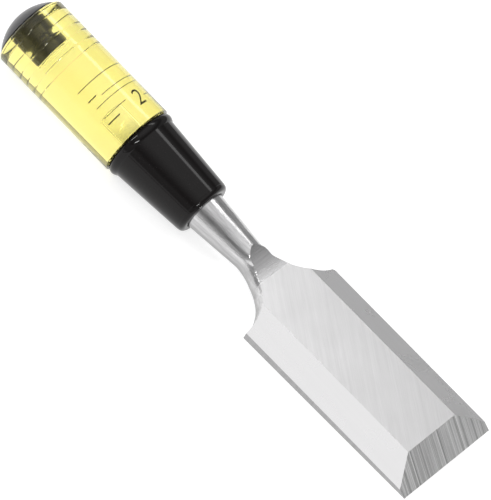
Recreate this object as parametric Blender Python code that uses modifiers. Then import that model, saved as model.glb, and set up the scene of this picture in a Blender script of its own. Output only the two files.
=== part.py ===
"""A two inch bevel edged bench chisel with a struck plastic handle.

The chisel lies along X with the flat back of its blade on Z = 0. The cutting
edge is at the low X end and the struck cap at the high X end. The origin is
the middle of the flat back. Stations along the blade are measured from the
cutting edge, and placed() turns a station into X. From the end of the
shoulders on they run along the handle's axis, which leans up a little.

Four pieces: the blade, forged in one with its neck and tang, the handle, the
ferrule sleeve over the handle's lower end, and the strike cap plugged into
the handle's butt.
"""

import math

import bmesh
import bpy
from mathutils import Matrix, Vector

COLLECTION_NAME = "bench_chisel"
CUTTER_COLLECTION_NAME = "bench_chisel_cutters"

GAP = 0.0003  # clearance between any two pieces that touch

# Blade, from the cutting edge to the shoulders
BLADE_WIDTH = 0.0508
BLADE_LENGTH = 0.0842  # to the outer corner of the left shoulder
BLADE_THICKNESS = 0.00645  # at the cutting edge, before the front bevel
SIDE_THICKNESS = 0.00188  # height of the square side at the cutting edge
TOP_FACE_WIDTH = 0.0279
THICKNESS_TAPER = 0.0165  # rise of the upper faces for each unit of length
EDGE_ANGLE = math.radians(30.0)
EDGE_LAND = 0.00006  # blunt height left on the cutting edge

# Shoulders and neck
SHOULDER_RUNOUT = 0.0006  # how far outside the blade the left shoulder arc is centred
RIGHT_ARC_RADIUS = 0.0206  # the right shoulder is ground a little wider
RIGHT_CORNER_ROUND = 0.0015
WAIST_WIDTH = 0.0120  # between the two shoulder arcs
NECK_LOW_RADIUS = 0.0063  # where the neck has turned round
NECK_HIGH_RADIUS = 0.00835  # at the ferrule
NECK_LENGTH = 0.02615  # from the end of the shoulder arcs to the ferrule
ROUNDING_START = 0.0080  # how far before the arcs' end the neck starts to turn round
ROUNDING_LENGTH = 0.0110
HOLLOW_RADIUS = 0.0250  # hollow grind between the top face and the neck
HOLLOW_LENGTH = 0.0138
BAR_HEIGHT = 0.0124  # of the forging before its top is ground
AXIS_HEIGHT = 0.0047  # of the handle's axis at the end of the shoulder arcs
AXIS_LEAN = math.radians(1.7)  # of the handle's axis over the flat back

# Tang
TANG_RADIUS = 0.0031
TANG_LENGTH = 0.0325
TANG_POINT_LENGTH = 0.0025
TANG_POINT_RADIUS = 0.0015

# Ferrule sleeve
FERRULE_LENGTH = 0.0368
FERRULE_LIP = 0.0034  # width of its lower end, from the mouth to the outside
FERRULE_HIGH_RADIUS = 0.0143
FERRULE_WALL = 0.0021
FERRULE_FLOOR = 0.0030
FERRULE_END_ROUND = 0.0023
BEAD_LENGTH = 0.0044
BEAD_RADIUS = 0.01525
BEAD_TOP_RADIUS = 0.0140

# Handle
HANDLE_RADIUS = 0.0155
HANDLE_LENGTH = 0.05835  # from the ferrule to the butt
HANDLE_BUTT_ROUND = 0.0015
GROOVE_OFFSETS = (0.0044, 0.0120, 0.0156, 0.0197)  # back from the butt
GROOVE_DEPTH = 0.0004
GROOVE_WIDTH = 0.0010
TANG_BORE_DEPTH = 0.04435  # straight part, from the handle's lower end
DRILL_POINT_LENGTH = 0.0040

# Strike cap
CAP_RADIUS = 0.01375
CAP_RIM = 0.00025
CAP_DOME_HEIGHT = 0.0056
PLUG_RADIUS = 0.00505
PLUG_LENGTH = 0.0148
PLUG_GROOVE_OFFSET = 0.0082
PLUG_GROOVE_WIDTH = 0.0024
PLUG_GROOVE_DEPTH = 0.0009
PLUG_CHAMFER = 0.0010

# Fineness
TURN_STEPS = 48
QUARTER_STEPS = 8  # points on each side of a blade section
ARC_STEPS = 12
STATION_STEP = 0.00002  # sections nearer than this to the last are left out
CUTTER_MARGIN = 0.004  # how far cutters stand out past what they cut

# Places that follow from the sizes above
HALF_WIDTH = BLADE_WIDTH / 2
ARC_CENTRE_Y = HALF_WIDTH + SHOULDER_RUNOUT
ARC_RADIUS = ARC_CENTRE_Y - WAIST_WIDTH / 2
ARC_END = BLADE_LENGTH + math.sqrt(ARC_RADIUS**2 - SHOULDER_RUNOUT**2)
FERRULE_START = ARC_END + NECK_LENGTH
FERRULE_END = FERRULE_START + FERRULE_LENGTH
SPIGOT_START = FERRULE_START + FERRULE_FLOOR + GAP
HANDLE_START = FERRULE_END + GAP
HANDLE_END = HANDLE_START + HANDLE_LENGTH
CAP_START = HANDLE_END + GAP
TANG_START = SPIGOT_START - GAP
TANG_BORE_RADIUS = TANG_RADIUS + GAP
PLUG_BORE_RADIUS = PLUG_RADIUS + GAP
MOUTH_RADIUS = NECK_HIGH_RADIUS + GAP
FERRULE_LOW_RADIUS = MOUTH_RADIUS + FERRULE_LIP


def placed(station):
    """X of a place given as its distance from the cutting edge."""
    return station - BLADE_LENGTH / 2


def on_axis(station):
    """The point of the handle's axis at a station past the shoulders."""
    along = station - ARC_END
    up = AXIS_HEIGHT + along * math.sin(AXIS_LEAN)
    return Vector((placed(ARC_END) + along * math.cos(AXIS_LEAN), 0.0, up))


def clear_scene():
    for scene_object in list(bpy.data.objects):
        bpy.data.objects.remove(scene_object, do_unlink=True)


def new_collection(name):
    collection = bpy.data.collections.new(name)
    bpy.context.scene.collection.children.link(collection)
    return collection


def new_material(name, colour, roughness, metallic):
    material = bpy.data.materials.new(name)
    material.use_nodes = True
    surface = material.node_tree.nodes["Principled BSDF"]
    surface.inputs["Base Color"].default_value = (*colour, 1.0)
    surface.inputs["Roughness"].default_value = roughness
    surface.inputs["Metallic"].default_value = metallic
    return material


def new_part(name, mesh, collection, material):
    part = bpy.data.objects.new(name, mesh)
    collection.objects.link(part)
    mesh.materials.clear()
    mesh.materials.append(material)
    return part


def arc(centre, radius, start, end, steps):
    """Points along an arc in a plane, both ends included, angles in radians."""
    points = []
    for step in range(steps + 1):
        angle = start + (end - start) * step / steps
        points.append((centre[0] + radius * math.cos(angle), centre[1] + radius * math.sin(angle)))
    return points


def turned(name, profile, collection, material):
    """A solid of revolution about the handle's axis.

    The profile is a list of (station, radius) that runs down the outer side,
    from the struck end towards the cutting edge. It starts and ends on the
    axis, or comes back to its first point.
    """
    closed = profile[0] == profile[-1]
    points = profile[:-1] if closed else profile
    mesh = bpy.data.meshes.new(name)
    vertices = [(radius, 0.0, station - ARC_END) for station, radius in points]
    edges = [(index, index + 1) for index in range(len(points) - 1)]
    if closed:
        edges.append((len(points) - 1, 0))
    mesh.from_pydata(vertices, edges, [])
    part = new_part(name, mesh, collection, material)
    screw = part.modifiers.new("turn", "SCREW")
    screw.axis = "Z"
    screw.steps = TURN_STEPS
    screw.render_steps = TURN_STEPS
    screw.use_merge_vertices = True
    screw.merge_threshold = 0.00001
    screw.use_smooth_shade = True
    part.rotation_euler = (0.0, math.pi / 2 - AXIS_LEAN, 0.0)
    part.location = on_axis(ARC_END)
    return part


def smooth_share(value):
    """Zero to one with a soft start and end."""
    value = min(max(value, 0.0), 1.0)
    return value * value * (3 - 2 * value)


def forging_ring(station, left_width, right_width, radius, roundness):
    """One section of the forging, from the flat bar to the round neck.

    At roundness 0 it is the upright rectangle of the bar, and at 1 a circle
    square to the handle's axis. The two widths are the bar's on each side of
    its middle, radius the circle's.
    """
    half_height = BAR_HEIGHT / 2
    square = []
    for step in range(QUARTER_STEPS):
        share = 2 * step / QUARTER_STEPS - 1
        square.append((1.0, share * half_height))
    for step in range(QUARTER_STEPS):
        share = 1 - 2 * step / QUARTER_STEPS
        square.append((share, half_height))
    square += [(-across, -up) for across, up in square]
    lean = Vector((-math.sin(AXIS_LEAN), 0.0, math.cos(AXIS_LEAN)))
    ring = []
    for index, (across, up) in enumerate(square):
        angle = -math.pi / 4 + math.pi / 2 * index / QUARTER_STEPS
        width = left_width if across > 0 else right_width
        flat_point = Vector((placed(station), across * width, half_height + up))
        round_point = on_axis(station) + lean * radius * math.sin(angle)
        round_point.y = radius * math.cos(angle)
        ring.append(flat_point.lerp(round_point, roundness))
    return ring


def corner_end(radius, corner_round):
    """Station where a shoulder arc takes over from the rounded outer corner."""
    inner = HALF_WIDTH - corner_round - WAIST_WIDTH / 2
    return ARC_END - math.sqrt(radius**2 - (radius - inner) ** 2)


def bar_width(station, radius, corner_round):
    """Width of one side of the bar at a station up to the end of its arc."""
    end = corner_end(radius, corner_round)
    if station <= end - corner_round:
        return HALF_WIDTH
    if station < end:
        return HALF_WIDTH - corner_round + math.sqrt(
            max(corner_round**2 - (station - end + corner_round) ** 2, 0.0)
        )
    along = max(ARC_END - station, 0.0)
    return WAIST_WIDTH / 2 + radius - math.sqrt(max(radius**2 - along**2, 0.0))


def arc_stations(radius, corner_round):
    """Stations that show one side's corner and arc, up to the arc's end."""
    end = corner_end(radius, corner_round)
    stations = []
    for step in range(QUARTER_STEPS + 1 if corner_round > 0.0 else 0):
        angle = math.pi / 2 * step / QUARTER_STEPS
        stations.append(end - corner_round * (1 - math.sin(angle)))
    first_angle = math.acos((ARC_END - end) / radius)
    for step in range(2 * ARC_STEPS + 1):
        angle = first_angle + (math.pi / 2 - first_angle) * step / (2 * ARC_STEPS)
        stations.append(ARC_END - radius * math.cos(angle))
    return stations


def forging_sections():
    """Sections of the bar the blade is ground from, edge to tang point."""
    sections = [(-CUTTER_MARGIN / 2, HALF_WIDTH, HALF_WIDTH, NECK_LOW_RADIUS, 0.0)]
    rounding_from = ARC_END - ROUNDING_START
    left = (ARC_RADIUS, 0.0)
    right = (RIGHT_ARC_RADIUS, RIGHT_CORNER_ROUND)
    last = -1.0
    for station in sorted(arc_stations(*left) + arc_stations(*right)):
        if station - last < STATION_STEP:
            continue
        share = smooth_share((station - rounding_from) / ROUNDING_LENGTH)
        widths = (bar_width(station, *left), bar_width(station, *right))
        sections.append((station, *widths, NECK_LOW_RADIUS, share))
        last = station
    waist = WAIST_WIDTH / 2
    rounded = rounding_from + ROUNDING_LENGTH
    tang_end = TANG_START + TANG_LENGTH
    sections.append((rounded, waist, waist, NECK_LOW_RADIUS, 1.0))
    sections.append((FERRULE_START - GAP, waist, waist, NECK_HIGH_RADIUS, 1.0))
    sections.append((TANG_START, waist, waist, NECK_HIGH_RADIUS, 1.0))
    sections.append((TANG_START, waist, waist, TANG_RADIUS, 1.0))
    sections.append((tang_end - TANG_POINT_LENGTH, waist, waist, TANG_RADIUS, 1.0))
    sections.append((tang_end, waist, waist, TANG_POINT_RADIUS, 1.0))
    return sections


def loft(name, rings):
    """A closed skin over rings that all have the same number of points."""
    frame = bmesh.new()
    loops = [[frame.verts.new(point) for point in ring] for ring in rings]
    count = len(loops[0])
    for lower, upper in zip(loops, loops[1:]):
        for index in range(count):
            after = (index + 1) % count
            frame.faces.new((lower[index], lower[after], upper[after], upper[index]))
    frame.faces.new(loops[0])
    frame.faces.new(loops[-1])
    bmesh.ops.recalc_face_normals(frame, faces=frame.faces)
    mesh = bpy.data.meshes.new(name)
    frame.to_mesh(mesh)
    frame.free()
    return mesh


def cutter_from_outline(name, outline, half_depth, collection):
    """A solid from an (X, Z) outline, reaching half_depth to each side along Y."""
    curve = bpy.data.curves.new(name, "CURVE")
    curve.dimensions = "2D"
    curve.fill_mode = "BOTH"
    curve.extrude = half_depth
    spline = curve.splines.new("POLY")
    spline.points.add(len(outline) - 1)
    for point, (along, up) in zip(spline.points, outline):
        point.co = (along, up, 0.0, 1.0)
    spline.use_cyclic_u = True
    guide = bpy.data.objects.new(name + "_outline", curve)
    collection.objects.link(guide)
    guide.rotation_euler = (math.pi / 2, 0.0, 0.0)
    bpy.context.view_layer.update()
    evaluated = guide.evaluated_get(bpy.context.evaluated_depsgraph_get())
    mesh = bpy.data.meshes.new_from_object(evaluated)
    shape = bmesh.new()
    shape.from_mesh(mesh)
    bmesh.ops.remove_doubles(shape, verts=shape.verts, dist=0.000001)
    bmesh.ops.recalc_face_normals(shape, faces=shape.faces)
    shape.to_mesh(mesh)
    shape.free()
    cutter = bpy.data.objects.new(name, mesh)
    collection.objects.link(cutter)
    cutter.matrix_world = guide.matrix_world.copy()
    bpy.data.objects.remove(guide, do_unlink=True)
    hide_cutter(cutter)
    return cutter


def cutter_above_plane(name, corner, along, across, size, collection):
    """A block that stands on the plane through corner spanned by two directions."""
    along = Vector(along).normalized()
    up = along.cross(Vector(across)).normalized()
    across = up.cross(along)
    length, width, height = size
    shape = bmesh.new()
    bmesh.ops.create_cube(shape, size=1.0)
    bmesh.ops.translate(shape, verts=shape.verts, vec=(0.0, 0.0, 0.5))
    bmesh.ops.scale(shape, verts=shape.verts, vec=(length, width, height))
    turn = Matrix((along, across, up)).transposed().to_4x4()
    bmesh.ops.transform(shape, verts=shape.verts, matrix=Matrix.Translation(corner) @ turn)
    mesh = bpy.data.meshes.new(name)
    shape.to_mesh(mesh)
    shape.free()
    cutter = bpy.data.objects.new(name, mesh)
    collection.objects.link(cutter)
    hide_cutter(cutter)
    return cutter


def hide_cutter(cutter):
    cutter.display_type = "WIRE"
    cutter.hide_render = True


def cut(part, cutter):
    boolean = part.modifiers.new(cutter.name, "BOOLEAN")
    boolean.operation = "DIFFERENCE"
    boolean.solver = "EXACT"
    boolean.object = cutter


def top_height(station):
    """Height of the blade's top face over the flat back."""
    return BLADE_THICKNESS + THICKNESS_TAPER * station


def make_top_cutter(collection):
    """The grinding of the top face and of the hollow that rises to the neck."""
    slope = math.atan(THICKNESS_TAPER)
    waste_top = BAR_HEIGHT + CUTTER_MARGIN
    tangent = ARC_END - ROUNDING_START
    centre_x = placed(tangent) - HOLLOW_RADIUS * math.sin(slope)
    centre_z = top_height(tangent) + HOLLOW_RADIUS * math.cos(slope)
    sweep = math.asin(HOLLOW_LENGTH / HOLLOW_RADIUS)
    first = slope - math.pi / 2
    hollow = arc((centre_x, centre_z), HOLLOW_RADIUS, first, first + sweep, ARC_STEPS)
    rise = (waste_top - hollow[-1][1]) / math.tan(sweep + slope)
    outline = [(placed(-CUTTER_MARGIN), top_height(-CUTTER_MARGIN))]
    outline += hollow
    outline += [(hollow[-1][0] + rise, waste_top), (placed(-CUTTER_MARGIN), waste_top)]
    return cutter_from_outline("grind_top", outline, HALF_WIDTH + CUTTER_MARGIN, collection)


def make_side_cutter(side, collection):
    """The grinding of one long side bevel."""
    drop = (BLADE_THICKNESS - SIDE_THICKNESS) / (HALF_WIDTH - TOP_FACE_WIDTH / 2)
    middle = BLADE_LENGTH / 2
    height = SIDE_THICKNESS + THICKNESS_TAPER * middle
    corner = (placed(middle), side * HALF_WIDTH, height)
    along = (1.0, 0.0, THICKNESS_TAPER)
    across = (0.0, 1.0, -side * drop)
    reach = (HALF_WIDTH - TOP_FACE_WIDTH / 2) / math.cos(math.atan(drop))
    size = (BLADE_LENGTH + 2 * ARC_RADIUS, 2 * reach + 2 * CUTTER_MARGIN, 2 * BAR_HEIGHT)
    name = "grind_side_left" if side > 0 else "grind_side_right"
    return cutter_above_plane(name, corner, along, across, size, collection)


def make_front_cutter(collection):
    """The grinding of the front bevel, which makes the cutting edge."""
    corner = (placed(0.0), 0.0, EDGE_LAND)
    along = (math.cos(EDGE_ANGLE), 0.0, math.sin(EDGE_ANGLE))
    length = 3 * BAR_HEIGHT / math.sin(EDGE_ANGLE)
    size = (length, BLADE_WIDTH + 2 * CUTTER_MARGIN, 3 * BAR_HEIGHT)
    return cutter_above_plane("grind_front", corner, along, (0.0, 1.0, 0.0), size, collection)


def make_end_cutter(collection):
    """Squares the bar off at the cutting edge."""
    corner = (placed(0.0), 0.0, BAR_HEIGHT / 2)
    size = (3 * BAR_HEIGHT, BLADE_WIDTH + 2 * CUTTER_MARGIN, 2 * CUTTER_MARGIN)
    return cutter_above_plane(
        "square_end", corner, (0.0, 0.0, 1.0), (0.0, 1.0, 0.0), size, collection
    )


def make_blade(collection, cutters, material):
    """Blade, neck and tang, forged in one and ground to shape."""
    rings = [forging_ring(*section) for section in forging_sections()]
    mesh = loft("blade", rings)
    blade = new_part("blade", mesh, collection, material)
    cut(blade, make_end_cutter(cutters))
    cut(blade, make_top_cutter(cutters))
    cut(blade, make_side_cutter(1, cutters))
    cut(blade, make_side_cutter(-1, cutters))
    cut(blade, make_front_cutter(cutters))
    mesh.shade_smooth()
    mesh.set_sharp_from_angle(angle=math.radians(25.0))
    return blade


def ferrule_inner_radius(station):
    """Radius of the sleeve's tapered bore, whose wall is even all along."""
    share = (station - FERRULE_START) / (FERRULE_LENGTH - BEAD_LENGTH)
    outer = FERRULE_LOW_RADIUS + (FERRULE_HIGH_RADIUS - FERRULE_LOW_RADIUS) * share
    return outer - FERRULE_WALL


def make_ferrule(collection, material):
    """Tapered sleeve with a bead where it meets the handle."""
    floor = FERRULE_START + FERRULE_FLOOR
    bore_top = (FERRULE_END, ferrule_inner_radius(FERRULE_END))
    profile = [bore_top]
    for step in range(9):
        share = step / 8
        swell = math.sin(math.pi * share) ** 0.8
        foot = BEAD_TOP_RADIUS + (FERRULE_HIGH_RADIUS - BEAD_TOP_RADIUS) * share
        radius = foot + (BEAD_RADIUS - foot) * swell
        profile.append((FERRULE_END - BEAD_LENGTH * share, radius))
    end_centre = (FERRULE_START + FERRULE_END_ROUND, FERRULE_LOW_RADIUS - FERRULE_END_ROUND)
    profile += arc(end_centre, FERRULE_END_ROUND, math.pi / 2, math.pi, 5)
    profile.append((FERRULE_START, MOUTH_RADIUS))
    profile.append((floor, MOUTH_RADIUS))
    profile.append((floor, ferrule_inner_radius(floor)))
    profile.append(bore_top)
    return turned("ferrule", profile, collection, material)


def make_handle(collection, material):
    """Handle with a spigot for the ferrule, a bore for the tang and one for the cap."""
    plug_bore_floor = CAP_START - PLUG_LENGTH - GAP
    profile = [
        (plug_bore_floor, 0.0),
        (plug_bore_floor, PLUG_BORE_RADIUS),
        (HANDLE_END, PLUG_BORE_RADIUS),
    ]
    butt_centre = (HANDLE_END - HANDLE_BUTT_ROUND, HANDLE_RADIUS - HANDLE_BUTT_ROUND)
    profile += arc(butt_centre, HANDLE_BUTT_ROUND, 0.0, math.pi / 2, 5)
    for offset in GROOVE_OFFSETS:
        station = HANDLE_END - offset
        profile.append((station + GROOVE_WIDTH / 2, HANDLE_RADIUS))
        profile.append((station, HANDLE_RADIUS - GROOVE_DEPTH))
        profile.append((station - GROOVE_WIDTH / 2, HANDLE_RADIUS))
    bore_end = SPIGOT_START + TANG_BORE_DEPTH
    profile += [
        (HANDLE_START, HANDLE_RADIUS),
        (HANDLE_START, ferrule_inner_radius(HANDLE_START) - GAP),
        (SPIGOT_START, ferrule_inner_radius(SPIGOT_START) - GAP),
        (SPIGOT_START, TANG_BORE_RADIUS),
        (bore_end, TANG_BORE_RADIUS),
        (bore_end + DRILL_POINT_LENGTH, 0.0),
    ]
    return turned("handle", profile, collection, material)


def make_strike_cap(collection, material):
    """Domed cap with a grooved plug that snaps into the handle."""
    rim_top = CAP_START + CAP_RIM
    dome_radius = (CAP_RADIUS**2 + CAP_DOME_HEIGHT**2) / (2 * CAP_DOME_HEIGHT)
    dome_centre = (rim_top + CAP_DOME_HEIGHT - dome_radius, 0.0)
    dome_angle = math.asin(CAP_RADIUS / dome_radius)
    profile = arc(dome_centre, dome_radius, 0.0, dome_angle, 8)
    profile[0] = (profile[0][0], 0.0)
    plug_end = CAP_START - PLUG_LENGTH
    groove = CAP_START - PLUG_GROOVE_OFFSET
    profile += [
        (CAP_START, CAP_RADIUS),
        (CAP_START, PLUG_RADIUS),
        (groove + PLUG_GROOVE_WIDTH / 2, PLUG_RADIUS),
        (groove + PLUG_GROOVE_WIDTH / 4, PLUG_RADIUS - PLUG_GROOVE_DEPTH),
        (groove - PLUG_GROOVE_WIDTH / 4, PLUG_RADIUS - PLUG_GROOVE_DEPTH),
        (groove - PLUG_GROOVE_WIDTH / 2, PLUG_RADIUS),
        (plug_end + PLUG_CHAMFER, PLUG_RADIUS),
        (plug_end, PLUG_RADIUS - PLUG_CHAMFER),
        (plug_end, 0.0),
    ]
    return turned("strike_cap", profile, collection, material)


def main():
    clear_scene()
    parts = new_collection(COLLECTION_NAME)
    cutters = new_collection(CUTTER_COLLECTION_NAME)
    steel = new_material("ground_steel", (0.72, 0.72, 0.73), 0.28, 1.0)
    amber = new_material("yellow_acetate", (0.96, 0.88, 0.25), 0.12, 0.0)
    black = new_material("black_sleeve_plastic", (0.020, 0.018, 0.017), 0.20, 0.0)
    cap_black = new_material("black_cap_plastic", (0.030, 0.028, 0.032), 0.30, 0.0)
    make_blade(parts, cutters, steel)
    make_handle(parts, amber)
    make_ferrule(parts, black)
    make_strike_cap(parts, cap_black)


main()
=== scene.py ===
"""A two inch bevel edged bench chisel, finished: ground steel blade, clear
yellow handle, gloss black ferrule and domed strike cap, on a pale floor."""

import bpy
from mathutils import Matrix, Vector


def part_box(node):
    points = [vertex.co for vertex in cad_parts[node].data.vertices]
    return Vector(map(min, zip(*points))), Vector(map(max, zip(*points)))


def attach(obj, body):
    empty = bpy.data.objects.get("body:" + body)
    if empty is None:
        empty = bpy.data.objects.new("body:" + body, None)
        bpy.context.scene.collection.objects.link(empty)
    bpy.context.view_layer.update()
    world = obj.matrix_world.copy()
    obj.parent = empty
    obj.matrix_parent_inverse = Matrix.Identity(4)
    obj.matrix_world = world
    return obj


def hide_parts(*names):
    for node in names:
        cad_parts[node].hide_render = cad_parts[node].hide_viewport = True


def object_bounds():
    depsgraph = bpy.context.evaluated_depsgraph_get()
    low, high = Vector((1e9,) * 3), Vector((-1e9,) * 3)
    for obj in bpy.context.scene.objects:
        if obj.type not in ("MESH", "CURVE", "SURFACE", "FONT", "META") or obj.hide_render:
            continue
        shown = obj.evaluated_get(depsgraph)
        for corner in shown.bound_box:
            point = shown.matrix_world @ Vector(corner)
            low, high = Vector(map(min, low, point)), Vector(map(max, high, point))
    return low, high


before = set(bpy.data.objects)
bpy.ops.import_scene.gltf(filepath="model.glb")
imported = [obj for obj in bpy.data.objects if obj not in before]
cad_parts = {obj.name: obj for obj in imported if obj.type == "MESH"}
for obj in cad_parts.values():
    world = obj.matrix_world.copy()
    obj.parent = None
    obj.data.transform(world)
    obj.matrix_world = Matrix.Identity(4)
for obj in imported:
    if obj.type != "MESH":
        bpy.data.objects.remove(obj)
CAD_BOX = [list(corner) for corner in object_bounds()]

import math

import bmesh
import bpy
from bpy.props import FloatProperty, FloatVectorProperty, IntProperty, PointerProperty
from bpy.types import Operator, Panel, PropertyGroup
from mathutils import Matrix, Vector

bl_info = {
    "name": "Bench chisel",
    "version": (1, 0, 0),
    "blender": (4, 5, 0),
    "location": "View3D > Sidebar > Chisel",
    "description": "Builds a finished two inch bevel edged bench chisel on a plain stage",
    "category": "Add Mesh",
}

BODY = "root"
GAP = 0.0003  # clearance between pieces that touch
PRESS = 0.00002  # the plug and spigot are pressed in, with no air round them
MERGE = 0.000001  # points nearer than this are one point
BLADE_LOW, BLADE_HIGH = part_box("blade")
EDGE_X = BLADE_LOW.x  # the cutting edge
HALF_WIDTH = BLADE_HIGH.y
FLOOR_DROP = 0.0005  # the floor's distance under the lowest point


# ------------------------ sizes


def length(label, note, default):
    return FloatProperty(name=label, description=note, default=default, subtype="DISTANCE")


def angle(label, note, degrees):
    return FloatProperty(
        name=label, description=note, default=math.radians(degrees), subtype="ANGLE"
    )


def colour(label, note, default):
    return FloatVectorProperty(
        name=label, description=note, default=default, subtype="COLOR", min=0.0, max=1.0
    )


class ChiselBladeSizes(PropertyGroup):
    """Sizes of the blade and its neck."""

    blade_length: length("Blade length", "From the cutting edge to the shoulders", 0.0842)
    thickness: length("Thickness", "At the cutting edge, before the front bevel", 0.00645)
    side_thickness: length("Side thickness", "Height of the square side at the edge", 0.00188)
    top_width: length("Top face width", "Between the two long bevels", 0.0279)
    taper: FloatProperty(name="Taper", description="Rise of the top per length", default=0.0165)
    edge_angle: angle("Edge angle", "Front bevel to flat back", 30.0)
    shoulder_runout: length("Shoulder runout", "How far outside the arcs are centred", 0.0006)
    waist: length("Waist", "Between the shoulder arcs", 0.0120)
    neck_low: length("Neck low radius", "Where the neck has turned round", 0.0063)
    neck_high: length("Neck high radius", "At the ferrule", 0.00835)
    neck_length: length("Neck length", "From the shoulder arcs to the ferrule", 0.02615)
    rounding: length("Rounding length", "Over which the bar turns round", 0.0110)
    rounding_start: length("Rounding start", "Before the end of the arcs", 0.0080)
    hollow_start: length("Hollow start", "Before the end of the arcs", 0.0097)
    hollow_radius: length("Hollow radius", "Of the grind up to the neck", 0.0310)
    hollow_sweep: angle("Hollow sweep", "Turn of the grind before it runs out straight", 32.0)
    bar_height: length("Bar height", "Of the forging before grinding", 0.0124)
    axis_height: length("Axis height", "Of the handle's axis at the neck's foot", 0.0047)
    axis_lean: angle("Axis lean", "Of the handle's axis over the flat back", 1.7)
    edge_softness: length("Edge softness", "Width of the broken edges", 0.00014)
    barrel: length("Barrel", "Swell of the shoulders' walls", 0.0018)
    barrel_height: length("Barrel height", "Of the swell over the back", 0.0040)
    right_arc: length("Right shoulder arc", "Radius, ground a little wider", 0.0206)
    right_round: length("Right corner round", "On the right outer shoulder", 0.0015)
    tang_radius: length("Tang radius", "Inside the handle", 0.0031)
    tang_length: length("Tang length", "Inside the handle", 0.0325)
    ring_points: IntProperty(name="Points on a side", description="Of each section", default=20)


class ChiselHandleSizes(PropertyGroup):
    """Sizes of the handle, its ferrule and its strike cap."""

    ferrule_length: length("Ferrule length", "End to end", 0.0368)
    ferrule_lip: length("Ferrule lip", "Width of its lower end", 0.0034)
    ferrule_high: length("Ferrule high radius", "Just under the bead", 0.0143)
    ferrule_wall: length("Ferrule wall", "Thickness", 0.0021)
    ferrule_floor: length("Ferrule floor", "Thickness round the mouth", 0.0030)
    ferrule_round: length("Ferrule round", "Of its lower end", 0.0019)
    bead_length: length("Bead length", "Along the handle", 0.0044)
    bead_radius: length("Bead radius", "At its crest", 0.01525)
    bead_top: length("Bead top radius", "Where it meets the handle", 0.0140)
    radius: length("Handle radius", "Of the yellow grip", 0.0155)
    grip_length: length("Grip length", "From the ferrule to the butt", 0.05835)
    butt_round: length("Butt round", "Radius of the struck end's rim", 0.0015)
    groove_depth: length("Groove depth", "Of the turned rings", 0.00024)
    groove_width: length("Groove width", "Of the turned rings", 0.0008)
    bore_depth: length("Bore depth", "Straight part of the tang's bore", 0.0474)
    drill_point: length("Drill point", "Shallow cone at the end of the bore", 0.0009)
    cap_radius: length("Cap radius", "Of the black dome", 0.01375)
    cap_rim: length("Cap rim", "Height of its upright edge", 0.00025)
    dome_height: length("Dome height", "Above the rim", 0.00558)
    plug_radius: length("Plug radius", "Inside the handle", 0.00505)
    plug_length: length("Plug length", "Inside the handle", 0.0148)
    plug_groove: length("Plug groove", "From the cap's underside to its middle", 0.0082)
    plug_groove_width: length("Plug groove width", "Along the plug", 0.0024)
    plug_groove_depth: length("Plug groove depth", "Into the plug", 0.0009)
    plug_chamfer: length("Plug chamfer", "At its end", 0.0010)
    turn_steps: IntProperty(name="Turn steps", description="Round each turned piece", default=128)


class ChiselColours(PropertyGroup):
    """Colours of the finishes."""

    steel: colour("Steel", "Ground blade steel", (0.78, 0.775, 0.78))
    acetate: colour("Acetate", "Clear yellow handle", (0.965, 0.868, 0.24))
    sleeve: colour("Sleeve", "Gloss black ferrule", (0.006, 0.005, 0.005))
    cap: colour("Cap", "Black strike cap", (0.010, 0.009, 0.012))
    ink: colour("Ink", "Marks on the handle", (0.012, 0.012, 0.004))
    floor: colour("Floor", "White table lit from within", (0.62, 0.62, 0.62))


class ChiselStageSizes(PropertyGroup):
    """Where the camera stands."""

    elevation: angle("Elevation", "Of the camera over the floor", 50.103)
    heading: angle("Heading", "Of the view, turned from +X", -73.283)
    roll: angle("Roll", "Of the camera about its view", 31.874)
    distance: length("Distance", "From the camera to its aim", 2.2242)
    lens: FloatProperty(name="Lens", description="Focal length in millimetres", default=432.0)
    aim: FloatVectorProperty(
        name="Aim", description="Point the camera looks at", default=(0.06817, -0.0046, 0.0001)
    )


GROOVES = (0.0044, 0.0120, 0.0156, 0.0197)  # back from the butt

# Stamped rules: station up from the ferrule, first and last turn from the top
# towards the right side in degrees, thickness
RULES = (
    (0.0247, -52.0, 39.0, 0.00030),
    (0.0195, -51.0, -36.0, 0.00045),
    (0.0182, -30.0, 40.0, 0.00026),
    (0.0156, -48.0, 41.0, 0.00026),
    (0.0110, -50.0, -10.0, 0.00028),
    (0.0083, -52.0, -30.0, 0.00050),
    (0.0090, 24.0, 40.0, 0.00036),
)
NUMERAL_STATION = 0.0088
NUMERAL_TURN = 9.0
NUMERAL_HEIGHT = 0.0072
NUMERAL_SIZE = 1.36  # type size over the figure's height
NUMERAL_SLANT = 0.15
NUMERAL_THINNING = 0.00006  # off each side of its strokes
BORED_SHADE = (1.0, 0.985, 0.86)  # of the plastic inside the bores
INK_DEPTH = 0.00003
INK_INSET = 0.00004
BEND_STEP = 0.0004  # between the folds of a mark that goes round the handle

RIM = 0.0003  # rounding of a turned piece's rims
CHAMFER = 0.0002  # on its smaller corners
NICK, NICK_WIDTH = 0.0001, 0.00012  # of the line round the ferrule's lower end
GROOVE_ROUND = 0.00018
BORE_ROUND = 0.0008  # in the corner at the end of the tang's bore
BEAD_STEPS, ROUND_STEPS, DOME_STEPS = 24, 9, 24
BEAD_FULLNESS = 0.8  # under one, so that the bead is fuller than a sine

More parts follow.
